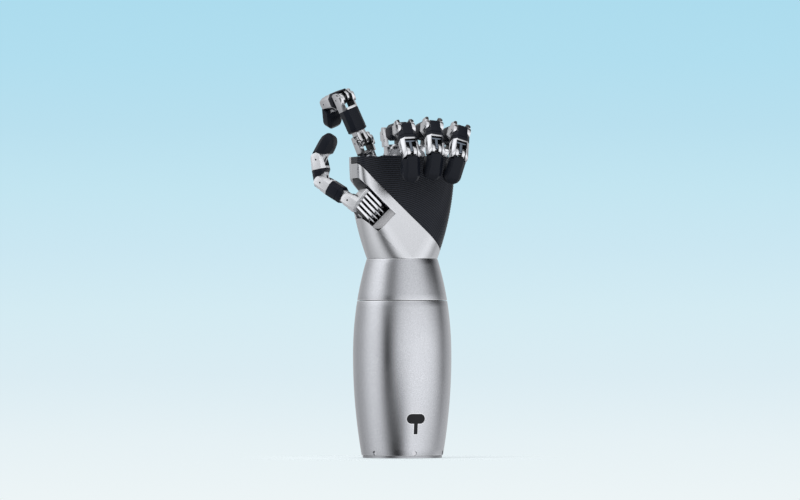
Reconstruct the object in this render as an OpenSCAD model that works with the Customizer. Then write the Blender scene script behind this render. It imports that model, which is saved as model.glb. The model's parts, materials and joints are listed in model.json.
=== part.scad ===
// Dexterous robot hand on a round forearm housing, thumb on the -X side.
// Millimetres, +Z up, palm facing -Y, origin at the centre of the bottom face.

/* [Forearm] */
// Radius at the bottom face
base_r = 40.2; // [38:0.1:44]
// Radius at the widest level
belly_r = 49.2; // [47:0.1:54]
// Radius at the wrist
wrist_r = 35.3; // [34:0.1:38]
// Height of the widest level
belly_z = 101.5; // [90:0.5:115]
// Height of the seam between shell and collar
collar_z = 156.7; // [145:0.1:165]
// Height of the wrist seam
wrist_z = 199; // [190:1:215]
// Wall of the forearm shell and collar
shell_t = 3; // [2:0.1:4]
// Gap that shows as a seam line
seam_gap = 0.4; // [0.2:0.1:0.8]
// Thickness of the base plate
base_t = 8; // [6:0.5:12]
// Pitch circle of the four mounting holes
bolt_pcd = 50; // [44:0.5:54]
// Radius of one mounting hole
bolt_hole_r = 3.3; // [2.2:0.1:3.5]

/* [Port cover] */
// Width of the cover's head
port_w = 20; // [14:0.5:26]
// Height of the cover's head
port_h = 11; // [8:0.5:14]
// Level of the middle of the head
port_z = 39.2; // [34:0.2:60]
// Width of the stem
port_stem_w = 5.2; // [4:0.1:7]
// Length of the stem below the middle of the head
port_stem_l = 16; // [12:0.5:20]
// Depth of the cover below the shell's surface
port_sink = 0.8; // [0.3:0.1:1.5]

/* [Forearm inside] */
// Radius of one motor
motor_r = 8.5; // [7:0.1:10]
// Length of one motor
motor_l = 58; // [45:1:65]
// Pitch circle of the motors
motor_pcd = 54; // [50:0.5:58]
// Thickness of one deck
deck_t = 4; // [3:0.5:6]
// Height of the lower deck's bottom
deck_z = 70; // [60:1:80]
// Radius of one tie rod
rod_r = 3; // [2.5:0.1:4]
// Pitch circle of the tie rods
rod_pcd = 24; // [22:0.5:26]

/* [Palm] */
// Height of the top of the palm
palm_top = 300; // [296:1:304]
// Width at the top of the palm
palm_w = 102.4; // [100:0.2:108]
// Thickness at the top of the palm
palm_t = 41; // [40:0.5:46]
// Corner radius at the top of the palm
palm_corner = 8.5; // [7:0.1:10]
// Wall of the palm's covers
palm_wall = 2.6; // [2:0.1:3.2]
// Where the seam of the pad crosses the middle plane
seam_z = 242.7; // [238:0.1:248]
// Depth plane between front covers and back cover
back_y = 8; // [6:0.5:10]
// Thickness of one plate of the inner frame
frame_t = 2.8; // [2:0.1:3.5]

/* [Fingers] */
// Width of a phalanx
finger_w = 18; // [17:0.1:19]
// Thickness of a phalanx
finger_t = 16; // [15:0.1:17]
// Chamfer along the edges of a phalanx
finger_edge = 4; // [3:0.1:4.4]
// Thickness of one ear of a fork
ear_t = 3.6; // [3:0.1:4]
// End radius of an ear
ear_r = 6.8; // [6.2:0.1:7.2]
// Radius of the lobes that turn between the ears
lobe_r = 6.2; // [5.5:0.1:6.4]
// Radius of a hinge pin
pin_r = 2; // [1.5:0.1:2.5]
// Radial clearance of a hinge pin in its bore
pin_fit = 0.05; // [0.02:0.01:0.1]
// Side clearance of moving parts
side_gap = 0.4; // [0.3:0.05:0.6]
// Length of the lower phalanges of the fingers
lower_len = 47; // [44:0.5:50]
// Length of the upper phalanges of the fingers
upper_len = 27; // [26:0.5:30]
// Length of the fingertips
tip_len = 30.5; // [28:0.5:34]
// Width of a fingertip
tip_w = 17.4; // [16:0.1:18]
// Length of a fork behind its pin on the fingers
fork_back = 13; // [12:0.1:14]
// Depth plane of the finger knuckles
knuckle_y = -5; // [-6:0.5:-3]
// Distance of the spread pivot below the knuckle pin
spread_drop = 23; // [21:0.5:25]
// Radius of a spread pivot pin
spread_pin_r = 2.5; // [2:0.1:3]

/* [Thumb] */
// Length of the lower phalanx of the thumb
thumb_lower_len = 34.5; // [30:0.5:36]
// Length of the upper phalanx of the thumb
thumb_upper_len = 23.3; // [23:0.1:26]
// Length of the thumb's tip
thumb_tip_len = 29; // [27:0.5:31]
// Length of a fork behind its pin on the thumb
thumb_fork_back = 9.6; // [9.4:0.1:10.5]
// Radius of the thumb's fins
fin_r = 13; // [12:0.1:13.5]
// Thickness of one fin of the thumb
fin_t = 2.2; // [1.8:0.1:2.4]
// Distance from one fin to the next
fin_pitch = 4.6; // [4.4:0.05:4.7]
// Thickness of one fin of the socket
rest_fin_t = 1.6; // [1.2:0.1:1.7]
// Radius of the thumb's axle
axle_r = 3; // [2.5:0.1:3.5]
// Width of the thumb's pocket along the axle
pocket_w = 24.7; // [24:0.1:26]

/* [Hidden] */

// One digit: pin position, lean, twist, three curls, three lengths, fork length
index = [[8 - palm_w / 2, knuckle_y, 316.2], -22, -168, [6, 86, 58.5],
    [lower_len, upper_len, tip_len - 1], fork_back];
middle = [[-0.129 * palm_w, knuckle_y, 323.5], -3.5, 0, [86, 64, 40],
    [lower_len, upper_len, tip_len], fork_back];
ring = [[0.1494 * palm_w, knuckle_y, 323.5], 5.2, 0, [83, 66, 40],
    [lower_len, upper_len, tip_len], fork_back];
little = [[palm_w / 2 - 8.4, knuckle_y, 319.5], 15.2, 0, [84, 65, 41],
    [lower_len, upper_len, tip_len], fork_back];
thumb = [[-58, -14, 256.5], 0, 50, [-59, 48, 41],
    [thumb_lower_len, thumb_upper_len, thumb_tip_len], thumb_fork_back];
fingers = [index, middle, ring, little];
thumb_fork_lean = -59;           // direction of the fork on the thumb's base

rim = finger_w / 2;              // half width of a phalanx
lobe_w = finger_w - 2 * ear_t - 2 * side_gap;
slot_w = 3.4;                    // slot between the two lobes
beam_t = 11;                     // depth of the bar under a cover
bridge_t = 2.2;                  // web between the ears of a fork
cover_start = 8.4;               // sides of a cover start here
lower_start = 10;                // cover of a lower phalanx starts here
end_r = 28;                      // arc of that cover's end
tongue_t = 12;                   // thickness of a knuckle's tongue
fin_front = 9;                   // reach of a fin in front of the axle
root_z = 13.5;                   // level of the block on the fins, above the axle
comb_w = 4 * fin_pitch + fin_t;  // width of the thumb's five fins together
root_gap = 0.3;                  // gap between the fins and the block on them
horn = 1.4;                      // height of the ears' corners beside a hood
hood_back = 2.6;                 // a cover's hood reaches back over the pin
frame_half = palm_w / 2 - 7.2;    // half width of the palm's inner frame
over = 1;                        // reach of a cutting shape past a face
motor_top = deck_z + deck_t + motor_l;

// ---------- placing

// The frame of a knuckle: +X along the pin, +Z along the straight finger
module at_knuckle(f) {
    translate(f[0]) rotate([0, f[1], 0]) rotate([0, 0, f[2]]) children();
}
module at_lower(f) {
    at_knuckle(f) rotate([f[3][0], 0, 0]) children();
}
module at_upper(f) {
    at_lower(f) translate([0, 0, f[4][0]]) rotate([f[3][1], 0, 0]) children();
}
module at_tip(f) {
    at_upper(f) translate([0, 0, f[4][1]]) rotate([f[3][2], 0, 0]) children();
}

// The spread pivot of a finger, its pin along Y
function spread_at(f) = f[0] - spread_drop * [sin(f[1]), 0, cos(f[1])];

// Where a knuckle's neck crosses the top of the palm
function neck_x(f) = f[0][0] - (f[0][2] - palm_top) * tan(f[1]);

// ---------- shared shapes

// A side view (Y, Z) pushed out along X
module along_x(w) {
    rotate([90, 0, 90]) linear_extrude(w, center = true) children();
}
// A front view (X, Z) pushed out along Y
module along_y(w) {
    rotate([90, 0, 0]) linear_extrude(w, center = true) children();
}
module rounded(w, h, r) {
    square([w - 2 * r, h], center = true);
    square([w, h - 2 * r], center = true);
    for (x = [-1, 1], y = [-1, 1]) translate([x * (w / 2 - r), y * (h / 2 - r)]) circle(r, $fn = 32);
}
module octagon(w, h, c) {
    polygon([
        [w / 2, h / 2 - c], [w / 2 - c, h / 2], [c - w / 2, h / 2], [-w / 2, h / 2 - c],
        [-w / 2, c - h / 2], [c - w / 2, -h / 2], [w / 2 - c, -h / 2], [w / 2, c - h / 2]
    ]);
}
module pin(r, w) {
    rotate([0, 90, 0]) cylinder(r = r, h = w, center = true, $fn = 48);
}

// ---------- forearm

function forearm_r(z) = z < belly_z
    ? belly_r - (belly_r - base_r) * pow((belly_z - z) / belly_z, 2)
    : belly_r - (belly_r - wrist_r) * pow((z - belly_z) / (wrist_z - belly_z), 2.1);

module forearm_wall(z0, z1) {
    steps = ceil((z1 - z0) / 7);
    levels = [for (i = [0:steps]) z0 + (z1 - z0) * i / steps];
    rotate_extrude($fn = 96)
        polygon(concat(
            [for (z = levels) [forearm_r(z), z]],
            [for (i = [steps:-1:0]) [forearm_r(levels[i]) - shell_t, levels[i]]]
        ));
}

module port_outline(grow) {
    rounded(port_w + 2 * grow, port_h + 2 * grow, port_h / 2 + grow - 0.01);
    translate([-port_stem_w / 2 - grow, -port_stem_l - grow])
        square([port_stem_w + 2 * grow, port_stem_l]);
}

module base_plate() {
    color("dimgray") difference() {
        union() {
            cylinder(r = forearm_r(0) - 0.6, h = 2, $fn = 96);
            translate([0, 0, 2]) cylinder(r = forearm_r(0) - shell_t - side_gap, h = base_t - 2, $fn = 96);
        }
        for (a = [45:90:315]) rotate(a) translate([bolt_pcd / 2, 0, -over])
            cylinder(r = bolt_hole_r, h = base_t + 2 * over, $fn = 32);
        for (a = [0:120:240]) rotate(a) translate([rod_pcd / 2, 0, base_t - 4])
            cylinder(r = rod_r + pin_fit, h = 4 + over, $fn = 32);
        for (a = [30:60:330]) rotate([0, 90, a]) translate([-base_t / 2 - 1, 0, forearm_r(0) - 14])
            cylinder(r = 1.3, h = 20, $fn = 24);
    }
}

module base_screws() {
    color("silver") for (a = [30:60:330]) rotate([0, 90, a])
        translate([-base_t / 2 - 1, 0, forearm_r(0) - 12]) {
            cylinder(r = 1.25, h = 11, $fn = 24);
            translate([0, 0, 10]) cylinder(r = 2.2, h = 1.4, $fn = 24);
        }
}

module forearm_shell() {
    color("silver") difference() {
        forearm_wall(2.4, collar_z);
        translate([0, -belly_r, port_z]) along_y(2 * shell_t + 20) port_outline(0.15);
        for (a = [30:60:330]) rotate([0, 90, a]) translate([-base_t / 2 - 1, 0, forearm_r(0) - 14])
            cylinder(r = 2.3, h = 20, $fn = 24);
    }
}

module forearm_collar() {
    color("silver") forearm_wall(collar_z + seam_gap, wrist_z - seam_gap);
}

module port_cover() {
    color("#1b1c20") intersection() {
        translate([0, -belly_r, port_z]) along_y(2 * shell_t + 20) port_outline(0);
        translate([0, 0, port_z - 30]) rotate_extrude($fn = 96)
            polygon(concat(
                [for (z = [0:6:60]) [forearm_r(z + port_z - 30) - port_sink, z]],
                [for (z = [60:-6:0]) [forearm_r(z + port_z - 30) - shell_t - 1.5, z]]
            ));
    }
}

module deck(z) {
    translate([0, 0, z]) difference() {
        cylinder(r = forearm_r(z) - shell_t - side_gap, h = deck_t, $fn = 96);
        for (a = [0:120:240]) rotate(a) translate([rod_pcd / 2, 0, -over])
            cylinder(r = rod_r + pin_fit, h = deck_t + 2 * over, $fn = 32);
        for (a = [30:60:330]) rotate(a) translate([motor_pcd / 2, 0, -over])
            cylinder(r = 3, h = deck_t + 2 * over, $fn = 32);
        translate([0, 0, -over]) cylinder(r = 7, h = deck_t + 2 * over, $fn = 48);
    }
}
module lower_deck() {
    color("gray") deck(deck_z);
}
module upper_deck() {
    color("gray") deck(motor_top);
}

module tie_rods() {
    color("silver") for (a = [0:120:240]) rotate(a) translate([rod_pcd / 2, 0, base_t - 4])
        cylinder(r = rod_r, h = wrist_z - base_t + 2, $fn = 32);
}

module finger_motors() {
    color("#30343a") for (a = [30:60:330]) rotate(a) translate([motor_pcd / 2, 0, deck_z + deck_t]) {
        cylinder(r = motor_r, h = motor_l, $fn = 48);
        translate([0, 0, motor_l]) cylinder(r = 2.8, h = deck_t + 6, $fn = 32);
    }
}

module control_board() {
    color("darkgreen") translate([0, 0, deck_z - 3]) difference() {
        union() {
            translate([0, 0, -2]) cylinder(r = 34, h = 2, $fn = 96);
            for (a = [60:120:300]) rotate(a) translate([26, 0, 0]) cylinder(r = 2.5, h = 3, $fn = 24);
            translate([-8, 12, -6]) cube([16, 14, 4]);
        }
        for (a = [0:120:240]) rotate(a) translate([rod_pcd / 2, 0, -10])
            cylinder(r = rod_r + side_gap, h = 20, $fn = 32);
    }
}

module wrist_flange() {
    color("gray") difference() {
        union() {
            translate([0, 0, wrist_z - 5]) cylinder(r = wrist_r - shell_t - side_gap, h = 5, $fn = 96);
            translate([0, 0, wrist_z]) cylinder(r = wrist_r - palm_wall - 2.2, h = 6, $fn = 96);
        }
        for (a = [0:120:240]) rotate(a) translate([rod_pcd / 2, 0, wrist_z - 6])
            cylinder(r = rod_r + pin_fit, h = 4, $fn = 32);
        translate([0, 0, wrist_z - 6]) cylinder(r = 7, h = 14, $fn = 48);
    }
}

// ---------- palm

palm_h = palm_top - wrist_z;
corner_steps = 7;
palm_steps = 13;

// Half width, half thickness and corner radius of the palm at level s, 0 to 1
function palm_a(s) = wrist_r + (palm_w / 2 - wrist_r) * (1 - pow(1 - s, 2.2));
function palm_b(s) = palm_t / 2 + (wrist_r - palm_t / 2) * pow(1 - s, 1.6);
function palm_c(s) = palm_corner + (wrist_r - palm_corner) * pow(1 - s, 1.6);
function palm_ring(s, z, inset) = [
    for (q = [0:3], k = [0:corner_steps])
        let (a = 90 * q + 90 * k / corner_steps)
        [
            (q == 0 || q == 3 ? 1 : -1) * (palm_a(s) - palm_c(s)) + (palm_c(s) - inset) * cos(a),
            (q < 2 ? 1 : -1) * (palm_b(s) - palm_c(s)) + (palm_c(s) - inset) * sin(a),
            z
        ]
];

// Palm volume between two levels, pulled in by inset
module palm_body(inset, low, high) {
    n = 4 * (corner_steps + 1);
    points = [
        for (i = [0:palm_steps])
            let (z = low + (high - low) * i / palm_steps, s = min(1, max(0, (z - wrist_z) / palm_h)))
            each palm_ring(s, z, inset)
    ];
    sides = [
        for (i = [0:palm_steps - 1], k = [0:n - 1])
            each [
                [i * n + k, (i + 1) * n + k, (i + 1) * n + (k + 1) % n],
                [i * n + k, (i + 1) * n + (k + 1) % n, i * n + (k + 1) % n]
            ]
    ];
    polyhedron(
        points,
        concat([[for (k = [0:n - 1]) k]], sides, [[for (k = [n - 1:-1:0]) palm_steps * n + k]])
    );
}

// Half space below the diagonal seam, moved along its normal by shift
module below_seam(shift) {
    translate([0, 0, seam_z + shift]) rotate([0, 45, 0]) translate([-300, -100, -300]) cube([600, 200, 300]);
}

// Thumb axle: its middle, with +X along the axle and +Z towards the thumb
axle_mid = [-38.3, -7, 248.8];
module at_axle() {
    translate(axle_mid) rotate([0, -45, 0]) children();
}

// Pocket that the thumb's fins turn in, grown outwards by grow
module pocket(grow) {
    at_axle() {
        translate([-pocket_w / 2 - grow, -40, -20.1 - grow])
            cube([pocket_w + 2 * grow, 40 + 14.5 + grow, 80]);
        translate([-pocket_w / 2 - grow, -40, 8 - grow])
            cube([pocket_w + 2 * grow, 100, 60]);
    }
}

module palm_wall_ring() {
    difference() {
        palm_body(0, wrist_z, palm_top);
        palm_body(palm_wall, wrist_z - over, palm_top + over);
    }
}

module palm_shell() {
    color("silver") difference() {
        intersection() {
            palm_wall_ring();
            below_seam(-seam_gap / 2);
            translate([-100, -100, 0]) cube([200, 100 + back_y - seam_gap / 2, 400]);
        }
        pocket(0);
    }
}

module palm_pad() {
    color("#24262b") difference() {
        intersection() {
            palm_wall_ring();
            translate([-100, -100, 0]) cube([200, 100 + back_y - seam_gap / 2, 400]);
        }
        below_seam(seam_gap / 2);
    }
}

module back_cover() {
    color("silver") difference() {
        intersection() {
            palm_wall_ring();
            translate([-100, back_y + seam_gap / 2, 0]) cube([200, 100, 400]);
        }
        pocket(0);
    }
}

module top_cover() {
    color("#1b1c20") difference() {
        intersection() {
            palm_body(palm_wall + 0.1, palm_top - 10, palm_top - 0.5);
            translate([-100, -100, palm_top - 3.5]) cube([200, 200, 3]);
        }
        for (f = fingers) translate([(spread_at(f)[0] + neck_x(f)) / 2, knuckle_y, palm_top])
            cube([18 + abs(spread_at(f)[0] - neck_x(f)), tongue_t + 2 * frame_t + 3, 12], center = true);
    }
}

// Region of the inner frame in the front view, with an arm up to every spread pivot
module frame_outline() {
    difference() {
        union() {
            translate([-frame_half, 268]) square([2 * frame_half, 22]);
            polygon([
                [-22, 206], [22, 206], [frame_half - 2, 256], [frame_half, 268],
                [-frame_half, 268], [-30, 252]
            ]);
            for (f = fingers) translate([spread_at(f)[0], spread_at(f)[2]]) {
                circle(7, $fn = 48);
                translate([-7, -20]) square([14, 20]);
            }
        }
        translate([8, 240]) circle(14, $fn = 64);
    }
}

module palm_frame() {
    tongue = tongue_t + 2 * side_gap;
    color("gray") difference() {
        union() {
            for (y = [-1, 1]) translate([0, knuckle_y + y * (tongue + frame_t) / 2, 0])
                along_y(frame_t) frame_outline();
            translate([0, knuckle_y, 266]) along_y(tongue + frame_t)
                translate([2 - frame_half, 0]) square([2 * frame_half - 4, 5]);
            translate([-22, knuckle_y - 9, wrist_z + 6]) cube([44, 18, 5]);
        }
        for (f = fingers) translate(spread_at(f)) rotate([90, 0, 0])
            cylinder(r = spread_pin_r, h = 60, center = true, $fn = 48);
        pocket(2.4);
    }
}

module spread_pins() {
    color("silver") for (f = fingers) translate(spread_at(f)) rotate([90, 0, 0])
        cylinder(r = spread_pin_r, h = tongue_t + 2 * side_gap + 2 * frame_t, center = true, $fn = 48);
}

// One fixed fin of the socket, in the plane across the axle
module rest_fin() {
    difference() {
        union() {
            circle(6.5, $fn = 48);
            translate([-8, -20.1]) square([22.5, 20.1]);
        }
        circle(axle_r, $fn = 48);
    }
}

module thumb_socket() {
    color("gray") {
        intersection() {
            palm_body(palm_wall + 0.1, wrist_z + 8, palm_top - 4);
            difference() {
                pocket(2);
                pocket(0);
            }
        }
        at_axle() for (x = [-1.5:1:1.5]) translate([x * fin_pitch, 0, 0]) along_x(rest_fin_t) rest_fin();
    }
}

module thumb_axle() {
    color("silver") at_axle() pin(axle_r, 5 * fin_pitch - 1);
}

// ---------- phalanges

// Ends of a fork's ears in the side view, pin at height len
module fork_side(len, back) {
    translate([0, len]) circle(ear_r, $fn = 64);
    polygon([
        [-ear_r, len], [-finger_t / 2, len - back + 2], [-finger_t / 2, len - back],
        [finger_t / 2, len - back], [finger_t / 2, len - 4], [ear_r, len - 3], [ear_r, len]
    ]);
}

// Raised corners of the ears in the side view
module horn_side(len) {
    top = finger_t / 2 + horn;
    polygon([
        [0, len - 7], [finger_t / 2 - 1, len - 7], [top, len - 1.6], [top, len + 0.6],
        [ear_r - 0.8, len + 3], [0, len + 2]
    ]);
}

// Fork with two ears and its pin
module fork(len, back, horned = false) {
    difference() {
        union() {
            intersection() {
                translate([0, 0, len - back]) linear_extrude(back + ear_r + over)
                    octagon(finger_w, finger_t, finger_edge);
                along_x(finger_w + 2) fork_side(len, back);
            }
            if (horned) intersection() {
                translate([0, 0, len - back]) linear_extrude(back + ear_r)
                    octagon(finger_w, finger_t + 2 * horn, horn);
                along_x(finger_w + 2) horn_side(len);
            }
        }
        translate([-rim + ear_t, -finger_t, len - back + bridge_t])
            cube([finger_w - 2 * ear_t, 2 * finger_t, 2 * back]);
    }
    translate([0, 0, len]) pin(pin_r, finger_w);
}

// Two lobes with the bore of the pin, and the bar behind them
module lobes(bar_len) {
    difference() {
        along_x(lobe_w) {
            circle(lobe_r, $fn = 64);
            translate([-beam_t / 2, 0]) square([beam_t, bar_len]);
        }
        pin(pin_r + pin_fit, finger_w);
        along_x(slot_w) translate([-finger_t, -finger_t]) square([2 * finger_t, finger_t + lobe_r + 0.6]);
    }
}

module phalanx_frame(len, back, horned = false) {
    color("silver") {
        lobes(len - back + 0.5);
        fork(len, back, horned);
    }
}

// Room for the bar under a cover
module bar_room(len) {
    translate([-lobe_w / 2 - pin_fit, -beam_t / 2 - pin_fit, -over])
        cube([lobe_w + 2 * pin_fit, beam_t + 2 * pin_fit, len]);
}

// Side view of a cover, with a cut for bending
module cover_side(high) {
    polygon([
        [ear_r + side_gap, cover_start - 3], [finger_t, cover_start - 3], [finger_t, high],
        [-finger_t, high], [-finger_t, min(high - 1, cover_start + 3.6)],
        [-finger_t / 2, min(high - 1, cover_start + 3.6)], [-4, cover_start]
    ]);
}

// Side view of the hood that closes the gap between two ears
module hood_side() {
    polygon([
        [lobe_r + 0.3, -hood_back + 0.6], [lobe_r + 0.8, -hood_back], [finger_t / 2 - 0.5, -hood_back],
        [finger_t / 2 + over, 3 - hood_back], [finger_t / 2 + over, cover_start],
        [lobe_r + 0.3, cover_start]
    ]);
}

module phalanx_cover(len, back, hooded = true) {
    high = len - back - 0.1;
    low = hooded ? -hood_back : cover_start;
    color("#2b2d33") difference() {
        intersection() {
            translate([0, 0, low]) linear_extrude(high - low) octagon(finger_w, finger_t, finger_edge);
            union() {
                along_x(finger_w + 2) cover_side(high);
                if (hooded) along_x(lobe_w) hood_side();
            }
        }
        bar_room(len);
    }
}

// Cover of a finger's lower phalanx, its first end an arc in the front view
module lower_cover(len, back) {
    color("#2b2d33") difference() {
        intersection() {
            translate([0, 0, lower_start]) linear_extrude(len - back - 0.1 - lower_start)
                octagon(finger_w, finger_t, finger_edge);
            along_y(finger_t + 2) translate([0, lower_start + end_r]) circle(end_r, $fn = 180);
        }
        bar_room(len);
    }
}

// Link that ties a fingertip to the lower phalanx, seen in the fork's window
module link_bar(len, back) {
    color("#8796a8") translate([0, 0, len]) {
        along_x(slot_w - 2 * side_gap) {
            translate([4.1, 0.5]) circle(1.7, $fn = 32);
            translate([2.4, -back + bridge_t]) square([3.4, back - bridge_t]);
        }
        translate([0, 5.4, -back + bridge_t + 1.6]) pin(1.1, finger_w - 2 * ear_t - 0.4);
    }
}

module tip_frame(len) {
    color("silver") lobes(len - 12);
}

// Side outline of a fingertip
module tip_side(len) {
    polygon([
        [ear_r + side_gap, 2.4], [finger_t / 2, 2.4], [finger_t / 2, len - 13],
        [finger_t / 2 - 1, len - 6], [finger_t / 2 - 3.4, len - 0.8], [2, len], [-2.5, len - 0.6],
        [-finger_t / 2 + 1.6, len - 5], [-finger_t / 2, len - 12], [-finger_t / 2, cover_start + 3.6],
        [-4, cover_start], [ear_r + side_gap, cover_start - 3]
    ]);
}

// Fingertip: an eight-sided bar whose chamfers run on round the end
module tip_cap(len) {
    turn = len - tip_w / 2;
    color("#2b2d33") difference() {
        intersection() {
            union() {
                linear_extrude(turn) octagon(tip_w, finger_t, finger_edge);
                translate([0, 0, turn]) rotate([90, 0, 0]) rotate_extrude($fn = 96) polygon([
                    [0, -finger_t / 2], [tip_w / 2 - finger_edge, -finger_t / 2],
                    [tip_w / 2, finger_edge - finger_t / 2], [tip_w / 2, finger_t / 2 - finger_edge],
                    [tip_w / 2 - finger_edge, finger_t / 2], [0, finger_t / 2]
                ]);
            }
            along_x(finger_w + 2) tip_side(len);
        }
        bar_room(len - 12 + pin_fit + over);
    }
}

// Knuckle: a fork on top, and a tongue round the spread pivot below
module knuckle(f) {
    color("silver") {
        at_knuckle(f) fork(0, fork_back, true);
        translate(f[0]) rotate([0, f[1], 0]) difference() {
            along_y(tongue_t) {
                translate([0, -spread_drop]) circle(6.5, $fn = 48);
                translate([-6.5, -spread_drop]) square([13, spread_drop - fork_back + 1]);
            }
            translate([0, 0, -spread_drop]) rotate([90, 0, 0])
                cylinder(r = spread_pin_r + pin_fit, h = 40, center = true, $fn = 48);
        }
    }
}

// One moving fin of the thumb, in the plane across the axle
module thumb_fin() {
    difference() {
        intersection() {
            union() {
                circle(fin_r, $fn = 96);
                translate([-fin_r, 0]) square([fin_r + fin_front, root_z]);
            }
            translate([-fin_r, -fin_r]) square([2 * fin_r, fin_r + root_z]);
        }
        circle(axle_r + pin_fit, $fn = 48);
    }
}

// Foot of the fork, drawn down to the fins, grown outwards by grow
module thumb_foot(grow) {
    hull() {
        at_axle() along_x(comb_w - 1 + 2 * grow) translate([0.5 - fin_r - grow, root_z + 0.5 - grow])
            square([fin_r + 4 + 2 * grow, 2.5 + 2 * grow]);
        at_knuckle(thumb) rotate([thumb_fork_lean, 0, 0]) translate([0, 0, 0.3 - thumb_fork_back - grow])
            linear_extrude(1.4 + 2 * grow)
                octagon(finger_w - 1 + 2 * grow, finger_t - 1 + 2 * grow, finger_edge);
    }
}

module thumb_fins() {
    color("silver") difference() {
        at_axle() for (x = [-2:2]) translate([x * fin_pitch, 0, 0]) along_x(fin_t) thumb_fin();
        thumb_foot(root_gap);
        at_knuckle(thumb) rotate([thumb_fork_lean, 0, 0]) translate([0, 0, -thumb_fork_back - root_gap])
            linear_extrude(thumb_fork_back)
                octagon(finger_w + 2 * root_gap, finger_t + 2 * root_gap, finger_edge);
    }
}

// Room that the thumb's lower phalanx needs in the base
module thumb_room() {
    at_knuckle(thumb) {
        pin(lobe_r + 0.8, lobe_w + 1);
        for (a = [-80:12:-44]) rotate([a, 0, 0])
            translate([-rim - 0.4, -finger_t / 2 - 0.5, cover_start - 0.7])
                cube([finger_w + 0.8, finger_t + 1, 30]);
    }
}

// Block on the fins, drawn out to the foot of the fork
module thumb_root() {
    difference() {
        union() {
            at_axle() along_x(comb_w) translate([-fin_r, root_z + root_gap])
                square([fin_r + fin_front, 3.5 - root_gap]);
            thumb_foot(0);
        }
        thumb_room();
    }
}

module thumb_base() {
    color("silver") {
        thumb_root();
        at_knuckle(thumb) rotate([thumb_fork_lean, 0, 0]) fork(0, thumb_fork_back);
    }
}

// ---------- nodes

base_plate();
base_screws();
forearm_shell();
forearm_collar();
port_cover();
lower_deck();
upper_deck();
tie_rods();
finger_motors();
control_board();
wrist_flange();
palm_frame();
spread_pins();
palm_shell();
palm_pad();
back_cover();
top_cover();
thumb_socket();
thumb_axle();

knuckle(index);  // index_knuckle
at_lower(index) phalanx_frame(index[4][0], index[5], true);  // index_lower_frame
at_lower(index) lower_cover(index[4][0], index[5]);  // index_lower_cover
at_upper(index) phalanx_frame(index[4][1], index[5]);  // index_upper_frame
at_upper(index) phalanx_cover(index[4][1], index[5]);  // index_upper_cover
at_upper(index) link_bar(index[4][1], index[5]);  // index_link
at_tip(index) tip_frame(index[4][2]);  // index_tip_frame
at_tip(index) tip_cap(index[4][2]);  // index_tip_cap

knuckle(middle);  // middle_knuckle
at_lower(middle) phalanx_frame(middle[4][0], middle[5], true);  // middle_lower_frame
at_lower(middle) lower_cover(middle[4][0], middle[5]);  // middle_lower_cover
at_upper(middle) phalanx_frame(middle[4][1], middle[5]);  // middle_upper_frame
at_upper(middle) phalanx_cover(middle[4][1], middle[5]);  // middle_upper_cover
at_upper(middle) link_bar(middle[4][1], middle[5]);  // middle_link
at_tip(middle) tip_frame(middle[4][2]);  // middle_tip_frame
at_tip(middle) tip_cap(middle[4][2]);  // middle_tip_cap

knuckle(ring);  // ring_knuckle
at_lower(ring) phalanx_frame(ring[4][0], ring[5], true);  // ring_lower_frame
at_lower(ring) lower_cover(ring[4][0], ring[5]);  // ring_lower_cover
at_upper(ring) phalanx_frame(ring[4][1], ring[5]);  // ring_upper_frame
at_upper(ring) phalanx_cover(ring[4][1], ring[5]);  // ring_upper_cover
at_upper(ring) link_bar(ring[4][1], ring[5]);  // ring_link
at_tip(ring) tip_frame(ring[4][2]);  // ring_tip_frame
at_tip(ring) tip_cap(ring[4][2]);  // ring_tip_cap

knuckle(little);  // little_knuckle
at_lower(little) phalanx_frame(little[4][0], little[5], true);  // little_lower_frame
at_lower(little) lower_cover(little[4][0], little[5]);  // little_lower_cover
at_upper(little) phalanx_frame(little[4][1], little[5]);  // little_upper_frame
at_upper(little) phalanx_cover(little[4][1], little[5]);  // little_upper_cover
at_upper(little) link_bar(little[4][1], little[5]);  // little_link
at_tip(little) tip_frame(little[4][2]);  // little_tip_frame
at_tip(little) tip_cap(little[4][2]);  // little_tip_cap

thumb_base();
thumb_fins();
at_lower(thumb) phalanx_frame(thumb[4][0], thumb[5]);  // thumb_lower_frame
at_lower(thumb) phalanx_cover(thumb[4][0], thumb[5], false);  // thumb_lower_cover
at_upper(thumb) phalanx_frame(thumb[4][1], thumb[5]);  // thumb_upper_frame
at_upper(thumb) phalanx_cover(thumb[4][1], thumb[5]);  // thumb_upper_cover
at_upper(thumb) link_bar(thumb[4][1], thumb[5]);  // thumb_link
at_tip(thumb) tip_frame(thumb[4][2]);  // thumb_tip_frame
at_tip(thumb) tip_cap(thumb[4][2]);  // thumb_tip_cap
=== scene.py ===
import json
import math
import bmesh
import bpy
from mathutils import Matrix, Vector

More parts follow.
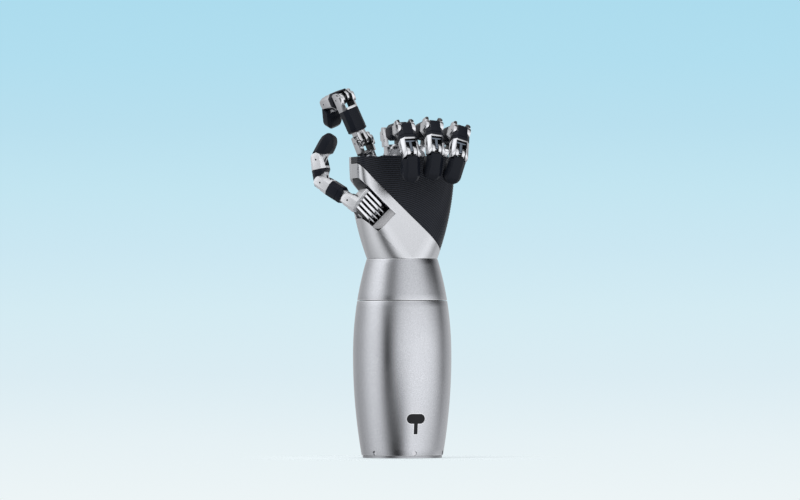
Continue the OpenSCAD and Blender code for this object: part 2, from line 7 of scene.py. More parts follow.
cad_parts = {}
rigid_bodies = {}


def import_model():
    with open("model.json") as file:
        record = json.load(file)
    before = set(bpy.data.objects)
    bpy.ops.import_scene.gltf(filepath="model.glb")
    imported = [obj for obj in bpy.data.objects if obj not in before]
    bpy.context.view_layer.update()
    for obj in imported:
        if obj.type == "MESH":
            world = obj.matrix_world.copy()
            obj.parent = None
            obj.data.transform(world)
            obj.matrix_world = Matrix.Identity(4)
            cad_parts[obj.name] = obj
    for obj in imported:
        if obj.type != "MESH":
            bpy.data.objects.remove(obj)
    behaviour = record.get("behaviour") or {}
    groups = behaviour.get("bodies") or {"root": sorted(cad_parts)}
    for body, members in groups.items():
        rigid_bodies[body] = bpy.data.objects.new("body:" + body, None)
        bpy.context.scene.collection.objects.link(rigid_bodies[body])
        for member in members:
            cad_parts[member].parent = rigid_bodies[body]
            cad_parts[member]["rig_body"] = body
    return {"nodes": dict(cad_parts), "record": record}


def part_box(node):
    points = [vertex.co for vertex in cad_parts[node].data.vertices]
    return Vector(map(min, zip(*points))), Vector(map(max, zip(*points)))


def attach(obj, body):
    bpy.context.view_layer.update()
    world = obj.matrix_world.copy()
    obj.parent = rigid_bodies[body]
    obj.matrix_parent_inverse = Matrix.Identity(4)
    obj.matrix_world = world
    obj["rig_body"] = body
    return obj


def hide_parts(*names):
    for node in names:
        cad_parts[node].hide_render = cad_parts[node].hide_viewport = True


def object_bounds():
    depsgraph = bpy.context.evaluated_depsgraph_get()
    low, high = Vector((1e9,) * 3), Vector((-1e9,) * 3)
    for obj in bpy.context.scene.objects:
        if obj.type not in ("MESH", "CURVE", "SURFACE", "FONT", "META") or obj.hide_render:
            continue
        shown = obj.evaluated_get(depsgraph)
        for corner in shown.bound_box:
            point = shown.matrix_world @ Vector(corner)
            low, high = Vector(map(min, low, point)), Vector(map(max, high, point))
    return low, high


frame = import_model()
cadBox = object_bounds()
scene = bpy.context.scene
print("frame loaded:", len(frame["nodes"]), "nodes")


def newObject(name, data):
    thing = bpy.data.objects.new(name, data)
    scene.collection.objects.link(thing)
    return thing


def meshFrom(name, bm):
    mesh = bpy.data.meshes.new(name)
    bm.to_mesh(mesh)
    bm.free()
    return mesh


def facing(direction, axis="Z"):
    # the turn that points an axis along a direction
    return direction.to_track_quat(axis, "Y").to_matrix().to_4x4()


camera = dict(azimuth=-17.5, elevation=-0.9, distance=6.0, width=0.8, sensor=36,
              aimHeight=0.2075, aimSide=-0.0021, roll=-0.05)


def sideAndBack(azimuth):
    # to the right of the view, and from the object to the camera
    a = math.radians(azimuth)
    return Vector((math.cos(a), math.sin(a), 0)), Vector((math.sin(a), -math.cos(a), 0))


def placeCamera():
    side, back = sideAndBack(camera["azimuth"])
    e = math.radians(camera["elevation"])
    aim = side * camera["aimSide"] + Vector((0, 0, camera["aimHeight"]))
    away = back * math.cos(e) + Vector((0, 0, math.sin(e)))
    lens = bpy.data.cameras.new("studioCamera")
    lens.sensor_width = camera["sensor"]
    lens.lens = lens.sensor_width * camera["distance"] / camera["width"]
    lens.clip_start = 0.1
    lens.clip_end = 100
    rig = newObject("studioCamera", lens)
    roll = Matrix.Rotation(math.radians(camera["roll"]), 4, "Z")
    rig.matrix_world = Matrix.Translation(aim + away * camera["distance"]) @ facing(-away, "-Z") @ roll
    scene.camera = rig


def addNode(tree, kind, **values):
    # a node with its settings, and the values of its sockets, given by name
    node = tree.nodes.new(kind)
    for name, value in values.items():
        if hasattr(node, name):
            setattr(node, name, value)
        else:
            node.inputs[name.replace("_", " ")].default_value = value
    return node


def feed(tree, sockets, values):
    # links or sets one socket after the other, and passes over those without a value
    for socket, value in zip(sockets, values):
        if isinstance(value, bpy.types.NodeSocket):
            tree.links.new(value, socket)
        elif value is not None:
            socket.default_value = value


def mathNode(tree, operation, a, b=None, c=None, clamp=False):
    node = addNode(tree, "ShaderNodeMath", operation=operation, use_clamp=clamp)
    feed(tree, node.inputs, (a, b, c))
    return node.outputs[0]


def vectorNode(tree, operation, a, b=None):
    node = addNode(tree, "ShaderNodeVectorMath", operation=operation)
    feed(tree, node.inputs, (a, b))
    return node.outputs["Value"]


def rampNode(tree, factor, stops):
    node = tree.nodes.new("ShaderNodeValToRGB")
    ramp = node.color_ramp
    while len(ramp.elements) < len(stops):
        ramp.elements.new(0.5)
    for element, (place, tone) in zip(ramp.elements, stops):
        element.position = place
        element.color = (*tone, 1) if isinstance(tone, tuple) else (tone, tone, tone, 1)
    tree.links.new(factor, node.inputs["Fac"])
    return node.outputs["Color"]


def mixColor(tree, factor, a, b, blend="MIX"):
    node = addNode(tree, "ShaderNodeMix", data_type="RGBA", blend_type=blend)
    values = [(*value, 1) if isinstance(value, tuple) else value for value in (factor, a, b)]
    feed(tree, (node.inputs[0], node.inputs[6], node.inputs[7]), values)
    return node.outputs[2]


# brightness that polished metal sees, by angle from the camera in degrees, left negative, at three heights
studioTones = {
    "low": [(-180, 0.50), (-134, 0.40), (-100, 0.62), (-76, 0.82), (-60, 0.78), (-45, 0.52), (-31, 0.16),
            (-20, 0.03), (-9, 0.06), (0, 0.30), (11, 0.72), (24, 1.10), (50, 1.08), (72, 0.84), (98, 0.54),
            (125, 0.68), (150, 0.60), (180, 0.50)],
    "middle": [(-180, 0.60), (-130, 0.46), (-108, 0.54), (-92, 0.84), (-78, 1.00), (-64, 0.98), (-54, 0.74),
               (-46, 0.34), (-37, 0.02), (-28, 0.16), (-18, 0.52), (-7, 0.88), (8, 1.08), (32, 1.18),
               (62, 1.16), (80, 0.98), (95, 0.64), (111, 0.26), (126, 0.48), (150, 0.62), (180, 0.60)],
    "high": [(-180, 0.55), (-149, 0.50), (-120, 0.74), (-100, 1.10), (-84, 1.24), (-68, 1.24), (-57, 0.98),
             (-46, 0.50), (-33, 0.30), (-22, 0.36), (-10, 0.62), (6, 0.80), (26, 0.88), (45, 0.84),
             (58, 0.74), (70, 0.54), (84, 0.18), (100, 0.02), (120, 0.02), (149, 0.26), (180, 0.55)],
}
backdropTones = [  # colour of the backdrop, from the floor up
    (0.054, (0.839, 0.905, 0.922)), (0.156, (0.791, 0.880, 0.913)), (0.276, (0.708, 0.839, 0.896)),
    (0.397, (0.658, 0.831, 0.896)), (0.508, (0.597, 0.799, 0.888)), (0.619, (0.546, 0.784, 0.880)),
    (0.739, (0.485, 0.745, 0.863)), (0.860, (0.440, 0.730, 0.863)), (0.961, (0.418, 0.716, 0.855)),
]
studio = dict(  # heights are sines of the angle above the horizon
    lowToMiddle=(-0.28, -0.02), middleToHigh=(0.06, 0.43), floorToRoom=(-1.0, -0.35), floorShade=(0.55,) * 3,
    backdropFrom=-0.03, backdropSpan=0.09, plainLight=(0.62, 0.63, 0.65), mirrorTint=(0.985, 0.995, 1.02))


def buildWorld():
    world = bpy.data.worlds.new("studioWorld")
    scene.world = world
    world.use_nodes = True
    tree = world.node_tree
    tree.nodes.clear()
    direction = tree.nodes.new("ShaderNodeTexCoord").outputs["Generated"]
    side, back = sideAndBack(camera["azimuth"])
    height = vectorNode(tree, "DOT_PRODUCT", direction, (0, 0, 1))
    turn = mathNode(tree, "ARCTAN2", vectorNode(tree, "DOT_PRODUCT", direction, side),
                    vectorNode(tree, "DOT_PRODUCT", direction, back))
    share = mathNode(tree, "ADD", mathNode(tree, "DIVIDE", turn, 2 * math.pi), 0.5)
    levels = {name: rampNode(tree, share, [((angle + 180) / 360, tone) for angle, tone in stops])
              for name, stops in studioTones.items()}

    def between(low, high):
        spread = addNode(tree, "ShaderNodeMapRange", From_Min=low, From_Max=high)
        tree.links.new(height, spread.inputs["Value"])
        return spread.outputs[0]

    lower = mixColor(tree, between(*studio["lowToMiddle"]), levels["low"], levels["middle"])
    panels = mixColor(tree, between(*studio["middleToHigh"]), lower, levels["high"])
    dimmed = mixColor(tree, between(*studio["floorToRoom"]), studio["floorShade"], (1.0, 1.0, 1.0))
    room = mixColor(tree, 1.0, panels, dimmed, "MULTIPLY")
    tinted = mixColor(tree, 1.0, room, studio["mirrorTint"], "MULTIPLY")
    far = mathNode(tree, "MULTIPLY_ADD", height, 1 / studio["backdropSpan"],
                   -studio["backdropFrom"] / studio["backdropSpan"])
    backdrop = rampNode(tree, far, backdropTones)
    path = tree.nodes.new("ShaderNodeLightPath")
    mirrored = mathNode(tree, "MAXIMUM", path.outputs["Is Glossy Ray"], path.outputs["Is Transmission Ray"])
    lit = mixColor(tree, mirrored, studio["plainLight"], tinted)
    seen = mixColor(tree, path.outputs["Is Camera Ray"], lit, backdrop)
    background = tree.nodes.new("ShaderNodeBackground")
    tree.links.new(seen, background.inputs["Color"])
    output = tree.nodes.new("ShaderNodeOutputWorld")
    tree.links.new(background.outputs[0], output.inputs["Surface"])


softboxes = [  # angle from the camera, height angle, distance, size, power
    dict(name="keyBox", angle=-62, rise=38, distance=1.6, size=0.9, power=11.0),
    dict(name="fillBox", angle=38, rise=22, distance=1.9, size=1.3, power=10.0),
    dict(name="topBox", angle=170, rise=66, distance=1.6, size=1.0, power=6.0),
]


def hangSoftboxes():
    side, back = sideAndBack(camera["azimuth"])
    middle = Vector((0, 0, 0.2))
    for box in softboxes:
        turn, rise = math.radians(box["angle"]), math.radians(box["rise"])
        level = (back * math.cos(turn) + side * math.sin(turn)) * math.cos(rise)
        away = level + Vector((0, 0, math.sin(rise)))
        lamp = bpy.data.lights.new(box["name"], "AREA")
        lamp.shape = "DISK"
        lamp.size = box["size"]
        lamp.energy = box["power"]
        holder = newObject(box["name"], lamp)
        holder.visible_glossy = False
        holder.matrix_world = Matrix.Translation(middle + away * box["distance"]) @ facing(away)


floorDisc = dict(radius=1.0, drop=0.0002, fadeStart=0.06, fadeEnd=0.17, color=(0.817, 0.892, 0.916),
                 shadowShare=0.5)


def layFloor():
    # a pale disc that fades into the backdrop, half glowing so that its shadow stays soft
    bm = bmesh.new()
    bmesh.ops.create_circle(bm, cap_ends=True, segments=96, radius=floorDisc["radius"])
    disc = newObject("studioFloor", meshFrom("studioFloor", bm))
    disc.location.z = cadBox[0].z - floorDisc["drop"]
    disc.visible_glossy = False
    material = bpy.data.materials.new("paleFloor")
    material.use_nodes = True
    tree = material.node_tree
    tree.nodes.clear()
    length = vectorNode(tree, "LENGTH", tree.nodes.new("ShaderNodeTexCoord").outputs["Object"])
    fade = addNode(tree, "ShaderNodeMapRange", interpolation_type="SMOOTHSTEP", From_Min=floorDisc["fadeStart"],
                   From_Max=floorDisc["fadeEnd"], To_Min=1, To_Max=0)
    tree.links.new(length, fade.inputs["Value"])
    under = tree.nodes.new("ShaderNodeNewGeometry").outputs["Backfacing"]
    cover = mathNode(tree, "MULTIPLY", fade.outputs[0], mathNode(tree, "SUBTRACT", 1.0, under))
    glow = addNode(tree, "ShaderNodeEmission", Color=(*floorDisc["color"], 1))
    matte = addNode(tree, "ShaderNodeBsdfDiffuse", Color=(*floorDisc["color"], 1))
    clear = tree.nodes.new("ShaderNodeBsdfTransparent")
    both = tree.nodes.new("ShaderNodeMixShader")
    feed(tree, both.inputs, (floorDisc["shadowShare"], glow.outputs[0], matte.outputs[0]))
    last = tree.nodes.new("ShaderNodeMixShader")
    feed(tree, last.inputs, (cover, clear.outputs[0], both.outputs[0]))
    output = tree.nodes.new("ShaderNodeOutputMaterial")
    tree.links.new(last.outputs[0], output.inputs["Surface"])
    disc.data.materials.append(material)


scene.view_settings.view_transform = "Standard"
placeCamera()
buildWorld()
hangSoftboxes()
layFloor()
print("studio set up")


def startGroup(name, inputs, outputs):
    # a node group whose inputs are numbers with a first value, and its two end nodes
    group = bpy.data.node_groups.new(name, "ShaderNodeTree")
    for label, value in inputs.items():
        socket = group.interface.new_socket(name=label, in_out="INPUT", socket_type="NodeSocketFloat")
        socket.default_value = value
    for label in outputs:
        group.interface.new_socket(name=label, in_out="OUTPUT", socket_type="NodeSocketFloat")
    return group, group.nodes.new("NodeGroupInput"), group.nodes.new("NodeGroupOutput")


def buildGrain():
    # fine bead-blasted grain: a tone for the colour, a broad cloud for the roughness, a height for the bump
    group, given, result = startGroup("blastedGrain", {"Grain Size": 0.0006, "Cloud Size": 0.03},
                                      ["Tone", "Cloud", "Height"])
    place = group.nodes.new("ShaderNodeTexCoord").outputs["Object"]

    def noise(size, detail):
        texture = addNode(group, "ShaderNodeTexNoise", Detail=detail)
        group.links.new(place, texture.inputs["Vector"])
        group.links.new(mathNode(group, "DIVIDE", 1.0, size), texture.inputs["Scale"])
        return texture.outputs["Fac"]

    fine = noise(given.outputs["Grain Size"], 2)
    broad = noise(given.outputs["Cloud Size"], 3)
    tone = mathNode(group, "MULTIPLY", mathNode(group, "SUBTRACT", fine, 0.5), 2.0)
    group.links.new(fine, result.inputs["Height"])
    group.links.new(tone, result.inputs["Tone"])
    group.links.new(mathNode(group, "SUBTRACT", broad, 0.5), result.inputs["Cloud"])
    return group


def buildEdgeMask():
    # 1 along convex edges, 0 on flats
    group, given, result = startGroup("edgeMask", {"Width": 0.0004}, ["Mask"])
    rounded = addNode(group, "ShaderNodeBevel", samples=4)
    group.links.new(given.outputs["Width"], rounded.inputs["Radius"])
    normal = group.nodes.new("ShaderNodeNewGeometry").outputs["Normal"]
    dot = vectorNode(group, "DOT_PRODUCT", rounded.outputs[0], normal)
    turned = mathNode(group, "MULTIPLY", mathNode(group, "SUBTRACT", 1.0, dot), 9.0, clamp=True)
    group.links.new(turned, result.inputs["Mask"])
    return group


def buildRibs():
    # 1 on the crest of a rib, 0 in the groove beside it; the ribs are rings about one point of the front view
    group, given, result = startGroup("padRibs", {"Middle X": 0.0, "Middle Z": 0.2, "Pitch": 0.002}, ["Crest"])
    place = group.nodes.new("ShaderNodeSeparateXYZ")
    group.links.new(group.nodes.new("ShaderNodeTexCoord").outputs["Object"], place.inputs[0])
    across = mathNode(group, "SUBTRACT", place.outputs["X"], given.outputs["Middle X"])
    up = mathNode(group, "SUBTRACT", place.outputs["Z"], given.outputs["Middle Z"])
    squares = mathNode(group, "ADD", mathNode(group, "MULTIPLY", across, across), mathNode(group, "MULTIPLY", up, up))
    count = mathNode(group, "DIVIDE", mathNode(group, "SQRT", squares), given.outputs["Pitch"])
    wave = mathNode(group, "COSINE", mathNode(group, "MULTIPLY", count, 2 * math.pi))
    group.links.new(mathNode(group, "MULTIPLY_ADD", wave, -0.5, 0.5), result.inputs["Crest"])
    return group


# the ribs are sunk in the pad's mesh; the two tones paint the grooves darker and the crests lighter, as painted shade
# and a painted highlight
ribs = dict(middleX=-0.0168, middleZ=0.1975, pitch=0.002, depth=0.00045, paintedGrooveShade=0.15, paintedCrestHighlight=1.9)
# convex edges are lifted toward a lighter colour: part edge wear, part painted highlight, strongest on the dark
# finishes
edgeWearAndHighlight = dict(share=0.5, metalLift=1.25, darkLift=2.2, brightest=0.95)
cloudRough = 0.22  # how far the broad cloud changes the roughness
finishes = {  # linear colours; grain and cloud are shares of the colour; grain size and bump in metres
    "satinSilver": dict(color=(0.61, 0.62, 0.645), metal=1, rough=0.22, grain=0.20, cloud=0.03,
                        grainSize=0.0010, bump=0.000006),
    "polishedSilver": dict(color=(0.78, 0.79, 0.81), metal=1, rough=0.14, grain=0.03, cloud=0.12,
                           grainSize=0.0005, bump=0.000004),
    "palmSilver": dict(color=(0.72, 0.73, 0.75), metal=1, rough=0.24, grain=0.12, cloud=0.03,
                       grainSize=0.0008, bump=0.000004),
    "socketSilver": dict(color=(0.50, 0.51, 0.53), metal=1, rough=0.26, grain=0.06, cloud=0.10,
                         grainSize=0.0006, bump=0.00001),
    "bluedSteel": dict(color=(0.17, 0.20, 0.24), metal=1, rough=0.30, grain=0.10, cloud=0.20,
                       grainSize=0.0004, bump=0.00001),
    "charcoal": dict(color=(0.0072, 0.0090, 0.0140), metal=0, rough=0.35, specular=0.17, grain=0.22, cloud=0.12,
                     grainSize=0.0005, bump=0.00002),
    "padRubber": dict(color=(0.0100, 0.0120, 0.0175), metal=0, rough=0.44, specular=0.26, ribbed=True,
                      grain=0.25, cloud=0.12, grainSize=0.0005, bump=0.00002),
    "paleSatin": dict(color=(0.80, 0.81, 0.83), metal=0.5, rough=0.36, grain=0.04, cloud=0.06,
                      grainSize=0.0006, bump=0.00001),
    "cavityGrey": dict(color=(0.40, 0.40, 0.41), metal=0.35, rough=0.40, grain=0.08, cloud=0.10,
                       grainSize=0.0006, bump=0.00001),
    # brighter silver for the rounded lips and rims: a painted highlight
    "paintedLipHighlight": dict(color=(0.86, 0.87, 0.89), metal=1, rough=0.26, grain=0.03, cloud=0.05,
                      grainSize=0.0006, bump=0.000004),
    # near-black for windows, slots and centre holes: painted shade, along with the black of the inner faces
    "wellBlackAndShade": dict(color=(0.010, 0.011, 0.013), metal=0, rough=0.46, grain=0.2, cloud=0.1,
                      grainSize=0.0005, bump=0.00001),
    "deepBlack": dict(color=(0.004, 0.0045, 0.0065), metal=0, rough=0.38, specular=0.3, grain=0.2, cloud=0.1,
                      grainSize=0.0005, bump=0.00001),
    "turnedMetal": dict(color=(0.45, 0.46, 0.48), metal=1, rough=0.32, grain=0.08, cloud=0.10,
                        grainSize=0.0006, bump=0.00001),
    "pinSteel": dict(color=(0.60, 0.60, 0.62), metal=1, rough=0.20, grain=0.05, cloud=0.10,
                     grainSize=0.0004, bump=0.000004),
    "motorPaint": dict(color=(0.05, 0.054, 0.06), metal=0, rough=0.40, grain=0.15, cloud=0.10,
                       grainSize=0.0006, bump=0.00001),
    "boardGreen": dict(color=(0.02, 0.12, 0.06), metal=0, rough=0.35, grain=0.20, cloud=0.20,
                       grainSize=0.0008, bump=0.00001),
}
ribGroup = buildRibs()
grainGroup = buildGrain()
edgeGroup = buildEdgeMask()


def buildMaterial(name, finish):
    material = bpy.data.materials.new(name)
    material.use_nodes = True
    tree = material.node_tree
    shader = tree.nodes["Principled BSDF"]
    shader.inputs["Metallic"].default_value = finish["metal"]
    shader.inputs["Specular IOR Level"].default_value = finish.get("specular", 0.5)
    grain = addNode(tree, "ShaderNodeGroup", node_tree=grainGroup, Grain_Size=finish["grainSize"])
    tone, cloud = grain.outputs["Tone"], grain.outputs["Cloud"]
    wave = mathNode(tree, "ADD", mathNode(tree, "MULTIPLY", tone, finish["grain"]),
                    mathNode(tree, "MULTIPLY", cloud, finish["cloud"]))
    color = mixColor(tree, 1.0, finish["color"], mathNode(tree, "ADD", wave, 1.0), "MULTIPLY")
    # ribbed rubber is painted darker in the grooves and lighter on the crests: painted shade and a painted highlight
    if finish.get("ribbed"):
        rib = addNode(tree, "ShaderNodeGroup", node_tree=ribGroup, Middle_X=ribs["middleX"],
                      Middle_Z=ribs["middleZ"], Pitch=ribs["pitch"])
        shade = mathNode(tree, "MULTIPLY_ADD", rib.outputs["Crest"], ribs["paintedCrestHighlight"] - ribs["paintedGrooveShade"],
                         ribs["paintedGrooveShade"])
        color = mixColor(tree, 1.0, color, shade, "MULTIPLY")
    # lighter colour along convex edges: edge wear and a painted highlight
    edge = addNode(tree, "ShaderNodeGroup", node_tree=edgeGroup)
    lift = edgeWearAndHighlight["metalLift"] if finish["metal"] else edgeWearAndHighlight["darkLift"]
    bright = tuple(min(edgeWearAndHighlight["brightest"], channel * lift) for channel in finish["color"])
    wearAndHighlight = mathNode(tree, "MULTIPLY", edge.outputs["Mask"], edgeWearAndHighlight["share"])
    tree.links.new(mixColor(tree, wearAndHighlight, color, bright), shader.inputs["Base Color"])
    rough = mathNode(tree, "ADD", mathNode(tree, "MULTIPLY", cloud, cloudRough), finish["rough"], clamp=True)
    tree.links.new(rough, shader.inputs["Roughness"])
    bump = addNode(tree, "ShaderNodeBump", Distance=finish["bump"], Strength=1)
    tree.links.new(grain.outputs["Height"], bump.inputs["Height"])
    tree.links.new(bump.outputs["Normal"], shader.inputs["Normal"])
    return material


materials = {name: buildMaterial(name, finish) for name, finish in finishes.items()}
print("materials made:", len(materials))

weld = dict(node=2e-6, cut=1e-6, drawn=1e-7, rim=1.5e-5)  # distances within which vertices count as one


def makePiece(name, bm, finishNames, body, nodes=(), angle=32):
    # faces that meet below the angle are shaded smooth
    for face in bm.faces:
        face.smooth = True
    for edge in bm.edges:
        edge.smooth = len(edge.link_faces) == 2 and edge.calc_face_angle(0) < math.radians(angle)
    piece = newObject(name, meshFrom(name, bm))
    for finish in finishNames:
        piece.data.materials.append(materials[finish])
    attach(piece, body)
    if nodes:
        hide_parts(*nodes)
    return piece


def nodeCopy(node):
    bm = bmesh.new()
    bm.from_mesh(frame["nodes"][node].data)
    bmesh.ops.remove_doubles(bm, verts=bm.verts, dist=weld["node"])
    bmesh.ops.dissolve_degenerate(bm, dist=weld["node"], edges=bm.edges)
    bmesh.ops.dissolve_limit(bm, angle_limit=math.radians(1.5), verts=bm.verts, edges=bm.edges)
    return bm


def breakEdges(bm, width, segments, above=26):
    limit = math.radians(above)
    sharp = [e for e in bm.edges if len(e.link_faces) == 2 and e.calc_face_angle(0) > limit]
    bmesh.ops.bevel(bm, geom=sharp, offset=width, offset_type="OFFSET", affect="EDGES", segments=segments,
                    profile=0.5, material=-1, clamp_overlap=True, miter_outer="SHARP")


def evenShading(piece):
    even = piece.modifiers.new("evenShading", "WEIGHTED_NORMAL")
    even.keep_sharp = True
    even.weight = 100


def everything(bm):
    return bm.verts[:] + bm.edges[:] + bm.faces[:]


def splitAt(bm, place, direction, drop=False):
    # cuts every face on a plane, and drops what lies beyond it if asked
    bmesh.ops.bisect_plane(bm, geom=everything(bm), dist=weld["drawn"], plane_co=place, plane_no=direction,
                           clear_outer=drop)


def solidFrom(build):
    # a temporary object for a cut, from a function that fills a bmesh
    bm = bmesh.new()
    build(bm)
    bmesh.ops.recalc_face_normals(bm, faces=bm.faces)
    return newObject("cutter", meshFrom("cutter", bm))


def cutAway(bm, *builders, operation="DIFFERENCE"):
    # takes solids away from a closed bmesh, or keeps what lies within them, and gives the new bmesh back
    whole = newObject("whole", meshFrom("whole", bm))
    cutters = [solidFrom(build) for build in builders]
    for cutter in cutters:
        cut = whole.modifiers.new("cut", "BOOLEAN")
        cut.operation = operation
        cut.solver = "EXACT"
        cut.object = cutter
    bpy.context.view_layer.update()
    shaped = whole.evaluated_get(bpy.context.evaluated_depsgraph_get())
    result = bmesh.new()
    result.from_mesh(shaped.to_mesh())
    shaped.to_mesh_clear()
    for thing in [whole, *cutters]:
        old = thing.data
        bpy.data.objects.remove(thing)
        bpy.data.meshes.remove(old)
    bmesh.ops.remove_doubles(result, verts=result.verts, dist=weld["cut"])
    return result


def bodyOf(node):
    return frame["nodes"][node]["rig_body"]


jointTo = {joint["child"]: joint for joint in frame["record"]["behaviour"]["joints"]}

housing = dict(baseRadius=0.0402, bellyRadius=0.04919, wristRadius=0.0353, bellyHeight=0.1015, wristHeight=0.199,
               lowerPower=2, upperPower=2.1, wall=0.003, lip=0.0007, lipDepth=0.0005, lipReach=0.0011,
               steps=192, rows=34, smoothBelow=28)
screws = dict(count=6, firstTurn=30, room=0.0023, depth=0.02)


def housingRadius(z):
    belly, height = housing["bellyRadius"], housing["bellyHeight"]
    if z < height:
        return belly - (belly - housing["baseRadius"]) * ((height - z) / height) ** housing["lowerPower"]
    share = (z - height) / (housing["wristHeight"] - height)
    return belly - (belly - housing["wristRadius"]) * share ** housing["upperPower"]


def spinProfile(points, steps):
    bm = bmesh.new()
    verts = [bm.verts.new((r, 0, z)) for r, z in points]
    edges = [bm.edges.new((a, b)) for a, b in zip(verts, verts[1:] + verts[:1])]
    bmesh.ops.spin(bm, geom=verts + edges, cent=(0, 0, 0), axis=(0, 0, 1), dvec=(0, 0, 0), angle=2 * math.pi,
                   steps=steps, use_merge=True, use_duplicate=False)
    bmesh.ops.remove_doubles(bm, verts=bm.verts, dist=weld["drawn"])
    bmesh.ops.recalc_face_normals(bm, faces=bm.faces)
    return bm


def housingTube(low, high):
    # outer wall with a small rounded lip at both ends, then the inner wall back down
    lip, depth = housing["lip"], housing["lipDepth"]
    count = max(6, round(housing["rows"] * (high - low) / housing["wristHeight"]))
    levels = [low + lip + (high - low - 2 * lip) * k / count for k in range(count + 1)]
    outer = [(housingRadius(low) - depth, low), (housingRadius(low) - 0.3 * depth, low + 0.25 * lip)]
    outer += [(housingRadius(z), z) for z in levels]
    outer += [(housingRadius(high) - 0.3 * depth, high - 0.25 * lip), (housingRadius(high) - depth, high)]
    inner = [(housingRadius(z) - housing["wall"], z) for z in (high, 0.5 * (low + high), low)]
    return spinProfile(outer + inner, housing["steps"])


def housingPiece(name, node, *cuts):
    # one length of the housing; the rounded ends of its outer wall take a brighter colour, a painted highlight along
    # the lips
    low, high = (corner.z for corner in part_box(node))
    bm = housingTube(low, high)
    if cuts:
        bm = cutAway(bm, *cuts)
    for face in bm.faces:
        place = face.calc_center_median()
        atEnd = min(place.z - low, high - place.z) < housing["lip"]
        outside = math.hypot(place.x, place.y) > housingRadius(place.z) - housing["lipReach"]
        face.material_index = int(atEnd and outside)
    makePiece(name, bm, ["satinSilver", "paintedLipHighlight"], "housing", [node], housing["smoothBelow"])


port = dict(width=0.020, height=0.011, level=0.0392, stemWidth=0.0052, stemLength=0.016, arcSteps=24, strips=28,
            sink=0.0008, rim=0.0006, coverDepth=0.0014, rimDepth=0.0012, play=0.00015)


def portShape(grow, front, back):
    # the T outline in the front view, pushed out along Y
    def build(bm):
        radius = port["height"] / 2 + grow
        reach = port["width"] / 2 - port["height"] / 2
        half = port["stemWidth"] / 2 + grow
        foot = -port["stemLength"] - grow
        turns = [math.radians(-90 + 180 * k / port["arcSteps"]) for k in range(port["arcSteps"] + 1)]
        outline = [(half, foot), (half, -radius)]
        outline += [(reach + radius * math.cos(a), radius * math.sin(a)) for a in turns]
        outline += [(-x, z) for x, z in reversed(outline)]
        face = bm.faces.new([bm.verts.new((x, front, port["level"] + z)) for x, z in outline])
        pushed = bmesh.ops.extrude_face_region(bm, geom=[face])["geom"]
        bmesh.ops.translate(bm, verts=[v for v in pushed if isinstance(v, bmesh.types.BMVert)],
                            vec=(0, back - front, 0))
        bmesh.ops.remove_doubles(bm, verts=bm.verts, dist=weld["drawn"])
    return build


def screwRooms(bm):
    # round holes for the base's screws, across the wall
    low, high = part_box("base_screws")
    level = Vector((0, 0, 0.5 * (low.z + high.z)))
    for k in range(screws["count"]):
        a = math.radians(screws["firstTurn"] + k * 360 / screws["count"])
        outward = Vector((math.cos(a), math.sin(a), 0))
        place = Matrix.Translation(outward * housing["baseRadius"] + level)
        bmesh.ops.create_cone(bm, cap_ends=True, segments=24, radius1=screws["room"], radius2=screws["room"],
                              depth=screws["depth"], matrix=place @ facing(outward))


def portPiece(grow, depth, sink, hollow=None):
    # a flat T laid on the round housing, its own Y as the depth below the surface
    bm = bmesh.new()
    portShape(grow, 0, depth)(bm)
    bmesh.ops.recalc_face_normals(bm, faces=bm.faces)
    if hollow is not None:
        bm = cutAway(bm, portShape(hollow, -0.01, 0.01))
    for k in range(1, port["strips"]):
        splitAt(bm, ((k / port["strips"] - 0.5) * (port["width"] + 2 * grow), 0, 0), (1, 0, 0))
    for vert in bm.verts:
        radius = housingRadius(vert.co.z) - sink - vert.co.y
        vert.co.y = -math.sqrt(max(1e-6, radius ** 2 - vert.co.x ** 2))
    return bm


housingPiece("forearmShell", "forearm_shell", portShape(port["play"], -0.06, -0.03), screwRooms)
housingPiece("forearmCollar", "forearm_collar")
makePiece("portCover", portPiece(-port["rim"], port["coverDepth"], port["sink"]), ["deepBlack"], "housing",
          ["port_cover"], housing["smoothBelow"])
makePiece("portRim", portPiece(0.0001, port["rimDepth"], 0.0001, hollow=-port["rim"]), ["polishedSilver"],
          "housing", angle=housing["smoothBelow"])
print("housing made")

palm = dict(bottom=0.199, top=0.300, wristRadius=0.0353, halfWidth=0.0512, halfDepth=0.0205, corner=0.0085,
            widthPower=2.2, depthPower=1.6, wall=0.0026, seam=0.2427, backSeam=0.008, gap=0.0002, edge=0.0004,
            levels=52, cells=(30, 14, 14), smoothBelow=38)
alongAxle = Vector((1, 0, 1)).normalized()  # the thumb's axle; the seam of the pad runs across it
towardThumb = Vector((-1, 0, 1)).normalized()


def palmRing(z, cells):
    # rounded rectangle at one level, as places with their outward directions; cells = front, side, corner
    front, side, corner = cells
    share = min(1, max(0, (z - palm["bottom"]) / (palm["top"] - palm["bottom"])))
    wrist, narrowing = palm["wristRadius"], (1 - share) ** palm["depthPower"]
    a = wrist + (palm["halfWidth"] - wrist) * (1 - (1 - share) ** palm["widthPower"])
    b = palm["halfDepth"] + (wrist - palm["halfDepth"]) * narrowing
    c = palm["corner"] + (wrist - palm["corner"]) * narrowing
    centres = [Vector((x * (a - c), y * (b - c), z)) for x, y in ((1, 1), (-1, 1), (-1, -1), (1, -1))]
    ring = []
    for quarter, centre in enumerate(centres):
        for k in range(corner + 1):
            turn = math.radians(90 * (quarter + k / corner))
            outward = Vector((math.cos(turn), math.sin(turn), 0))
            ring.append((centre + outward * c, outward))
        start, end = centre + outward * c, centres[(quarter + 1) % 4] + outward * c
        count = side if quarter in (1, 3) else front
        ring += [(start.lerp(end, k / count), outward) for k in range(1, count)]
    return ring


